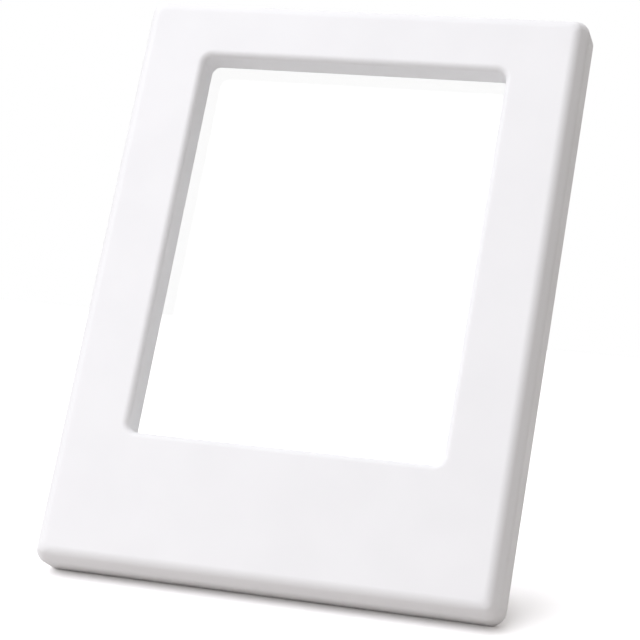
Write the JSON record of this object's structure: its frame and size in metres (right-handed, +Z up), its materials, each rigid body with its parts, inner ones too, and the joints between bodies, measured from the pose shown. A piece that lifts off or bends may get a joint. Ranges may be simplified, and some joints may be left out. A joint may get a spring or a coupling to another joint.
{
  "type": "magnetic photo frame",
  "caption": "Leaning white photo frame with a deep see-through window, a rear cover held by magnets and a swing-out leg.",
  "frame": {"origin": "on the surface that the frame stands on, under the middle of its box", "axes": "+Z up, the front faces -Y and leans back 30 degrees towards +Y, +X to the right as seen from the front"},
  "size_m": [0.1, 0.0724, 0.1161],
  "materials": {
    "white_plastic": "satin moulded white plastic",
    "clear_plastic": "clear polished acrylic",
    "magnet_nickel": "nickel-plated magnet",
    "pin_steel": "plain drawn steel",
    "grey_rubber": "matt soft grey rubber",
    "nylon": "natural nylon"
  },
  "bodies": {
    "front_frame": {"front_bezel": "white_plastic", "front_pane": "clear_plastic", "bezel_magnet_1": "magnet_nickel", "bezel_magnet_2": "magnet_nickel", "bezel_magnet_3": "magnet_nickel", "bezel_magnet_4": "magnet_nickel"},
    "cover": {"rear_cover": "white_plastic", "cover_magnet_1": "magnet_nickel", "cover_magnet_2": "magnet_nickel", "cover_magnet_3": "magnet_nickel", "cover_magnet_4": "magnet_nickel", "grip_pad_1": "grey_rubber", "grip_pad_2": "grey_rubber", "grip_pad_3": "grey_rubber", "grip_pad_4": "grey_rubber", "hinge_pin": "pin_steel", "hinge_washer_lower": "nylon", "hinge_washer_upper": "nylon"},
    "leg": {"swing_leg": "white_plastic", "leg_foot": "grey_rubber"}
  },
  "joints": [
    {"name": "cover_pull", "type": "slide", "parent": "front_frame", "child": "cover", "axis": [0, 0.866, -0.5], "range_m": [0, 0.03]},
    {"name": "leg_swing", "type": "hinge", "parent": "cover", "child": "leg", "pos_m": [0, -0.02387, 0.01169], "axis": [0, -0.5, -0.866], "range_deg": [0, 90]}
  ]
}
